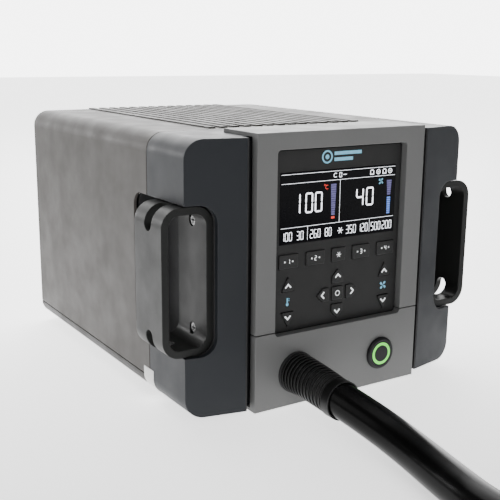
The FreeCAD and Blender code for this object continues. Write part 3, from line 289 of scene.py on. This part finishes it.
def make_materials():
    """Every look: a surface's colour, roughness, grain depth and grain scale, or a mark's glow."""
    return {
        "cover": surface("cover_paint", (0.056, 0.051, 0.047), 0.5, COARSE, 2600.0, specular=0.22),
        # The base pan is a darker copy of the cover paint: painted shade on the strip below the cover.
        "pan": surface("pan_paint_shaded", (0.034, 0.031, 0.029), 0.5, COARSE, 2600.0, specular=0.2),
        "bezel": surface("bezel_plastic", (0.0170, 0.0190, 0.0225), 0.46, COARSE, 2400.0, specular=0.2),
        "panel": surface("panel_paint", (0.130, 0.131, 0.130), 0.45, FINE, 3000.0, specular=0.3),
        # Dark plastic; on the panel's subframe and the handle trays it is painted shade.
        "dark": surface("dark_plastic_and_shade_lining", (0.012, 0.012, 0.013), 0.55, FINE, 2200.0, wear_and_highlight=0.1),
        "keypad": surface(
            "keypad_plastic", (0.018, 0.018, 0.018), 0.55, COARSE, 3200.0, wear_and_highlight=0.12, specular=0.25,
        ),
        "key": surface("key_plastic", (0.020, 0.020, 0.020), 0.5, FINE, 3200.0, wear_and_highlight=0.35, specular=0.25),
        "glass": surface(
            "display_glass", (0.002, 0.002, 0.003), 0.2, 0.000002, 900.0, wear_and_highlight=0.1, specular=0.08,
        ),
        "gloss": surface(
            "switch_gloss", (0.010, 0.010, 0.011), 0.3, SMOOTH, 1500.0, wear_and_highlight=0.6, specular=0.16,
        ),
        "handle": surface(
            "handle_plastic", (0.010, 0.0105, 0.010), 0.42, COARSE, 2200.0, wear_and_highlight=0.3, specular=0.22,
        ),
        "rubber": surface("soft_rubber", (0.016, 0.016, 0.017), 0.5, COARSE, 1800.0, wear_and_highlight=0.2),
        # The strain relief's ribs get the palest edges: a painted highlight along each rib.
        "collar": surface(
            "relief_rubber", (0.003, 0.003, 0.003), 0.36, COARSE, 1800.0, wear_and_highlight=1.0, specular=0.2,
        ),
        "hose": surface("hose_skin", (0.0015, 0.0015, 0.0015), 0.22, 0.0002, 45.0, wear_and_highlight=0.0, specular=0.09),
        "steel": surface("plated_steel", (0.62, 0.62, 0.60), 0.28, 0.00002, 1600.0, metal=1.0, wear_and_highlight=0.3),
        "screw": surface("dark_screw", (0.20, 0.20, 0.20), 0.3, 0.00002, 1600.0, metal=1.0, wear_and_highlight=0.8),
        "heater": surface(
            "heater_steel", (0.55, 0.53, 0.50), 0.3, FINE, 900.0, metal=1.0, rib=("Y", 700, 0.00002),
        ),
        "board": surface("board_lacquer", (0.012, 0.09, 0.035), 0.4, FINE, 700.0),
        "rear": surface("rear_paint", (0.035, 0.035, 0.036), 0.5, 0.00005, 2000.0),
        "paper": surface("paper_label", (0.78, 0.78, 0.76), 0.75, FINE, 1500.0, wear_and_highlight=0.05),
        "pale": surface("fan_plastic", (0.5, 0.5, 0.47), 0.5, COARSE, 1500.0),
        "green": glowing("green_ring", (0.14, 0.80, 0.07), 0.85),
        # The keys' white print glows though it is no lamp: painted light.
        "white": glowing("glowing_white_print", (0.85, 0.87, 0.88), 0.8),
        "lit": glowing("lit_white", (0.92, 0.94, 1.0), 2.4),
        "red": glowing("lit_red", (0.9, 0.05, 0.03), 0.9),
        # Pale blue glow: lit on the display's fan icon; on the panel's printed signs it is painted light.
        "sky": glowing("pale_blue_marks", (0.20, 0.55, 0.76), 0.25),
        "blue": glowing("lit_blue", (0.12, 0.24, 0.72), 0.8),
        "violet": glowing("lit_violet", (0.11, 0.10, 0.25), 0.55),
    }


FINISHES = {
    "cover": ["top_cover"],
    "pan": ["base_pan"],
    "bezel": ["front_bezel"],
    "panel": ["front_panel_upper", "front_panel_lower"],
    # The panel's subframe and the handle trays are dark so that the moat round the panel and the handle
    # recesses look shaded: painted shade. The other pieces here are dark plastic.
    "dark": [
        "panel_subframe", "handle_tray_left", "handle_tray_right", "hose_flange", "mains_inlet",
        "fuse_drawer", "blower_housing", "blower_cover", "air_duct", "lcd_module", "key_switches",
    ],
    "keypad": ["keypad_panel"],
    "glass": ["lcd_window"],
    "board": ["display_board", "main_board"],
    "gloss": ["power_switch_body", "power_cap"],
    "green": ["power_light_ring"],
    "screw": ["handle_screws", "rear_screws"],
    "steel": [
        "power_switch_nut", "foot_screws", "inlet_pins", "transformer",
        "blower_motor",
    ],
    "handle": ["handle_left", "handle_right", "handpiece_grip_upper", "handpiece_grip_lower"],
    "rubber": ["rubber_feet", "handpiece_relief"],
    "collar": ["hose_relief"],
    "heater": ["heater_barrel", "heater_core", "nozzle"],
    "rear": ["rear_panel"],
    "paper": ["seal_label"],
    "pale": ["blower_impeller"],
}


def finish_cad(materials):
    for finish, names in FINISHES.items():
        for name in names:
            set_material(NODES[name], materials[finish])
    for name, piece in NODES.items():
        if name.startswith("key_") and name != "key_switches":
            set_material(piece, materials["key"])


def set_material(piece, material):
    for place in piece.material_slots:
        place.material = material


# ---------------------------------------------------------------- hose
# The route's points are part.py's, in millimetres. The coil between them is one turn that
# climbs onto its own start.
HOSE_ROUTE = [
    (-32.4, -180.3, 21.1),
    (-29.0, -208.5, 16.5),
    (-29.4, -240.0, 12.5),
    (-35.5, -274.0, 11.2),
    (-43.0, -313.0, 11.2),
    (-38.0, -357.0, 11.2),
    (-18.0, -397.0, 11.2),
    (14.0, -428.0, 11.2),
    (56.0, -446.0, 11.2),
    (100.0, -450.0, 11.2),
]
TAIL_ROUTE = [
    (172.0, -449.0, 33.6),
    (214.0, -436.0, 33.4),
    (248.0, -407.0, 31.0),
    (269.0, -367.0, 25.0),
    (277.0, -324.0, 19.2),
    (278.0, -286.0, 17.6),
]
COIL_MIDDLE = (136.0, -338.0)
COIL_RADIUS = 112.0
COIL_LOW, COIL_HIGH = 11.2, 33.6
COIL_POINTS = 16
# The share of the turn where the coil starts to climb, and the share over which it climbs.
CLIMB_START, CLIMB_SHARE = 0.5, 0.36
HOSE_DIAMETER = 22.2


def coil_turn():
    """One turn from the coil's nearest point to the bench's front and round to it again."""
    points = []
    outside = COIL_RADIUS / math.cos(math.pi / COIL_POINTS)
    for index in range(COIL_POINTS):
        share = (index + 0.5) / COIL_POINTS
        angle = 2 * math.pi * share - math.pi / 2
        climb = min(1.0, max(0.0, (share - CLIMB_START) / CLIMB_SHARE))
        height = COIL_LOW + (COIL_HIGH - COIL_LOW) * climb * climb * (3 - 2 * climb)
        points.append((
            COIL_MIDDLE[0] + outside * math.cos(angle),
            COIL_MIDDLE[1] + outside * math.sin(angle),
            height,
        ))
    return points


def make_hose(materials):
    points = HOSE_ROUTE + coil_turn() + TAIL_ROUTE
    curve = bpy.data.curves.new("air_hose", "CURVE")
    curve.dimensions = "3D"
    curve.resolution_u = 16
    curve.bevel_depth = HOSE_DIAMETER / 2 * MM
    curve.bevel_resolution = 10
    curve.use_fill_caps = True
    spline = curve.splines.new("NURBS")
    spline.points.add(len(points) - 1)
    for point, place in zip(spline.points, points):
        point.co = (*(MM * value for value in place), 1)
    spline.order_u = 3
    spline.use_endpoint_u = True
    curve.materials.append(materials["hose"])
    hose = bpy.data.objects.new("air_hose", curve)
    bpy.context.scene.collection.objects.link(hose)
    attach(hose, "station")
    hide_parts("hose_tube", "hose_coil", "hose_tail")


# ---------------------------------------------------------------- printed and lit marks
# How far a mark stands off its face, in metres.
MARK_THICK = 0.00006


def front_of(node):
    """The Y of a node's front face."""
    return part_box(node)[0][1]


def middle_of(node):
    """The X and Z of a node's middle, in millimetres."""
    low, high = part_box(node)
    return (low[0] + high[0]) / 2 / MM, (low[2] + high[2]) / 2 / MM


def marks(name, shapes, front, material, body):
    """Thin raised marks on a face that looks to the front, each an outline of (x, z) in millimetres."""
    mesh = bpy.data.meshes.new(name)
    build = bmesh.new()
    for outline in shapes:
        corners = [build.verts.new((x * MM, front - MARK_THICK, z * MM)) for x, z in outline]
        face = build.faces.new(corners)
        face.normal_update()
        if face.normal.y > 0:
            face.normal_flip()
    build.to_mesh(mesh)
    build.free()
    mesh.materials.append(material)
    piece = bpy.data.objects.new(name, mesh)
    bpy.context.scene.collection.objects.link(piece)
    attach(piece, body)
    return piece


def bar(x, z, width, height):
    return [(x - width / 2, z - height / 2), (x + width / 2, z - height / 2),
            (x + width / 2, z + height / 2), (x - width / 2, z + height / 2)]


def disc(x, z, radius, corners=24):
    angles = [2 * math.pi * index / corners for index in range(corners)]
    return [(x + radius * math.cos(angle), z + radius * math.sin(angle)) for angle in angles]


def ring(x, z, radius, wide, start=0.0, end=360.0, steps=20):
    """A ring or part of one, as short four-sided pieces."""
    pieces = []
    for index in range(steps):
        first = math.radians(start + (end - start) * index / steps)
        last = math.radians(start + (end - start) * (index + 1) / steps)
        corners = ((radius - wide, first), (radius, first), (radius, last), (radius - wide, last))
        pieces.append([(x + far * math.cos(angle), z + far * math.sin(angle)) for far, angle in corners])
    return pieces


def moved(shapes, x, z, angle=0.0, scale=1.0):
    """Outlines turned about their origin, scaled, and then moved."""
    cos = math.cos(math.radians(angle)) * scale
    sin = math.sin(math.radians(angle)) * scale
    return [[(x + cos * px - sin * pz, z + sin * px + cos * pz) for px, pz in outline] for outline in shapes]


# The seven strokes of a digit, in a box 1 wide and 2 high, each with its middle and True if it
# lies flat, and those that each digit lights. A stroke stops short by a share of its weight.
STROKE_GAP = 0.04
STROKES = {
    "a": (0.5, 2.0, True), "g": (0.5, 1.0, True), "d": (0.5, 0.0, True),
    "f": (0.0, 1.5, False), "b": (1.0, 1.5, False), "e": (0.0, 0.5, False), "c": (1.0, 0.5, False),
}
DIGITS = {
    "0": "abcdef", "1": "bc", "2": "abged", "3": "abgcd", "4": "fgbc", "5": "afgcd",
    "6": "afgedc", "7": "abc", "8": "abcdefg", "9": "abcdfg",
}


def digits(text, x, z, width, height, gap, weight):
    """Seven-stroke digits from a lower left corner."""
    shapes = []
    for place, digit in enumerate(text):
        left = x + place * (width + gap)
        for stroke in DIGITS[digit]:
            across, up, flat = STROKES[stroke]
            thin = weight / 2
            middle = (left + across * (width - weight) + thin, z + up * (height - weight) / 2 + thin)
            length = (width - weight) if flat else (height - weight) / 2
            half = length / 2 - STROKE_GAP * weight
            stroke_shape = [
                (-half, 0), (-half + thin, -thin), (half - thin, -thin),
                (half, 0), (half - thin, thin), (-half + thin, thin),
            ]
            shapes += moved([stroke_shape], *middle, 0 if flat else 90)
    return shapes


def fan_mark(x, z, size):
    """Four leaning blades round a hub."""
    blade = [(0.12, 0.16), (0.62, 0.32), (0.92, 0.72), (0.5, 1.0), (0.1, 0.62)]
    shapes = [disc(x, z, 0.16 * size, 12)]
    for quarter in range(4):
        shapes += moved([blade], x, z, 90 * quarter, size)
    return shapes


def thermometer_mark(x, z, size):
    """A bulb, a stem and two ticks."""
    return [disc(x, z - 0.62 * size, 0.36 * size, 16), bar(x, z + 0.18 * size, 0.3 * size, 1.3 * size),
            bar(x + 0.42 * size, z + 0.62 * size, 0.3 * size, 0.14 * size),
            bar(x + 0.42 * size, z + 0.22 * size, 0.3 * size, 0.14 * size)]


# The display's ruled lines, the dividers at its foot and their sizes, in millimetres across from
# the middle and above the bench.
UPPER_LINE, SECOND_LINE, LOWER_LINE = 152.2, 146.5, 118.8
LINE_LENGTH, LINE_WIDTH = 91.5, 0.20
MIDDLE_LINE = -0.2
DIVIDER_X, DIVIDER_MIDDLE, DIVIDER_HEIGHT = 25.2, 114.2, 8.8
# Large numbers: text, left edge, foot, width and height of a digit, gap and stroke.
READINGS = [
    ("1", -36.9, 126.8, 5.8, 13.4, 1.5, 1.05),
    ("00", -27.4, 127.0, 5.9, 13.0, 1.5, 1.05),
    ("40", 13.2, 127.6, 6.3, 12.2, 2.0, 1.05),
]
# Small numbers along the foot: text and left edge, and the digits' foot, width, height, gap and stroke.
PRESETS = [
    ("100", -45.4), ("30", -33.6), ("260", -23.2), ("80", -11.4),
    ("350", 5.6), ("120", 15.6), ("500", 26.6), ("200", 36.2),
]
PRESET_DIGIT = (110.5, 2.35, 5.6, 0.6, 0.40)
# The two upright scales: the middle of each, the pitch of its steps and a step's height.
LEFT_SCALE_X, RIGHT_SCALE_X = -5.4, 41.0
SCALE_PITCH, STEP_HEIGHT, LEVEL_HEIGHT = 1.45, 1.2, 1.1
# Small signs at the top right: their middles.
SIGNS_X = (25.9, 31.3, 36.5, 41.4)
SIGNS_Z = 149.4


def scale_steps(x, foot, count, width, widening, height):
    """A stack of short bars that get wider upwards."""
    return [bar(x, foot + SCALE_PITCH * step, width + widening * step, height) for step in range(count)]


def display_lines():
    span = SECOND_LINE - LOWER_LINE
    lines = [bar(0, height, LINE_LENGTH, LINE_WIDTH) for height in (UPPER_LINE, SECOND_LINE, LOWER_LINE)]
    lines += [bar(MIDDLE_LINE, (SECOND_LINE + LOWER_LINE) / 2, LINE_WIDTH, span)]
    lines += [bar(side * DIVIDER_X, DIVIDER_MIDDLE, LINE_WIDTH, DIVIDER_HEIGHT) for side in (-1, 1)]
    return lines


def display_signs():
    """A zero between an open ring and a dash, and four small signs, in turn a frame and a ring."""
    signs = digits("0", -1.2, 147.9, 2.2, 3.2, 0.5, 0.4) + ring(-4.2, 149.5, 1.5, 0.4, 40, 320)
    signs += [bar(3.4, 149.5, 2.6, 0.4)]
    signs += moved(snowflake(2.2), 1.0, 113.3)
    for index, x in enumerate(SIGNS_X):
        if index % 2:
            signs += ring(x, SIGNS_Z, 1.7, 0.45, steps=14) + [disc(x, SIGNS_Z, 0.5, 10)]
        else:
            signs += [bar(x, SIGNS_Z - 1.4, 3.2, 0.5), bar(x, SIGNS_Z + 1.4, 2.0, 0.5)]
            signs += [bar(x - 1.3, SIGNS_Z, 0.5, 2.4), bar(x + 1.3, SIGNS_Z, 0.5, 2.4)]
    return signs


def make_display(materials):
    """Everything that the display shows, each colour as one piece on the glass."""
    numbers = []
    for reading in READINGS:
        numbers += digits(*reading)
    foot, *digit = PRESET_DIGIT
    for text, x in PRESETS:
        numbers += digits(text, x, foot, *digit)
    red = ring(-12.4, 143.8, 0.6, 0.22) + ring(-10.6, 142.4, 1.4, 0.34, 50, 310)
    red += [bar(LEFT_SCALE_X, 122.4, 2.6, 1.4)]
    scales = scale_steps(LEFT_SCALE_X, 124.6, 14, 2.8, 0.12, STEP_HEIGHT)
    scales += scale_steps(RIGHT_SCALE_X, 134.0, 7, 2.8, 0.22, STEP_HEIGHT)
    level = scale_steps(RIGHT_SCALE_X, 121.4, 8, 2.6, 0.05, LEVEL_HEIGHT)
    shown = [
        ("display_text", display_lines() + numbers + display_signs(), "lit"),
        ("display_red", red, "red"),
        ("display_scales", scales, "violet"),
        ("display_level", level, "blue"),
        ("display_icons", fan_mark(33.8, 142.9, 2.0), "sky"),
    ]
    front = front_of("lcd_window")
    for name, shapes, glow in shown:
        marks(name, shapes, front, materials[glow], "station")


def arrow(angle):
    """An open arrow head, 5 mm across."""
    outline = [(-2.5, -0.6), (0.0, 1.9), (2.5, -0.6), (1.85, -1.35), (0.0, 0.5), (-1.85, -1.35)]
    return moved([outline], 0, 0, angle)


def snowflake(size):
    """Three crossed bars."""
    return [shape for turn in (0, 60, 120) for shape in moved([bar(0, 0, 2 * size, 0.4)], 0, 0, turn)]


def preset_mark(digit):
    """A number between two small squares."""
    return digits(digit, -0.95, -1.7, 1.9, 3.4, 0.4, 0.5) + [bar(-3.0, 0, 1.0, 1.0), bar(3.0, 0, 1.0, 1.0)]


KEY_MARKS = {
    "key_preset_one": preset_mark("1"),
    "key_preset_two": preset_mark("2"),
    "key_cool": snowflake(1.9),
    "key_preset_three": preset_mark("3"),
    "key_preset_four": preset_mark("4"),
    "key_heat_up": moved(arrow(0), 0, -1.4),
    "key_heat_down": moved(arrow(180), 0, 1.4),
    "key_air_up": moved(arrow(0), 0, -1.4),
    "key_air_down": moved(arrow(180), 0, 1.4),
    "key_nav_up": arrow(0),
    "key_nav_down": arrow(180),
    "key_nav_left": arrow(90),
    "key_nav_right": arrow(-90),
    "key_set": ring(0, 0, 1.9, 0.5),
}


def make_key_marks(materials):
    for name, shapes in KEY_MARKS.items():
        x, z = middle_of(name)
        piece = marks(name + "_mark", moved(shapes, x, z), front_of(name), materials["white"], name)


def make_panel_marks(materials):
    """Small pale blue signs between the side keys, and a plain bar and ring above the display, printed and
    given a faint painted glow.
    """
    front = front_of("keypad_panel")
    keys = {name: middle_of(name) for name in ("key_heat_up", "key_heat_down", "key_air_up", "key_air_down")}
    heat = (keys["key_heat_up"][0], (keys["key_heat_up"][1] + keys["key_heat_down"][1]) / 2)
    air = (keys["key_air_up"][0], (keys["key_air_up"][1] + keys["key_air_down"][1]) / 2)
    shapes = thermometer_mark(*heat, 2.9) + fan_mark(*air, 2.7)
    height = (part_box("lcd_window")[1][2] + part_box("keypad_panel")[1][2]) / 2 / MM
    shapes += ring(-11.0, height, 4.2, 1.1, steps=32) + [disc(-11.0, height, 1.5)]
    shapes += [bar(5.6, height + 1.9, 22.0, 2.2), bar(2.1, height - 1.9, 15.0, 2.2)]
    marks("panel_signs", shapes, front, materials["sky"], "station")


# ---------------------------------------------------------------- build
make_camera()
materials = make_materials()
make_hose(materials)
make_studio()
finish_cad(materials)
make_display(materials)
make_key_marks(materials)
make_panel_marks(materials)
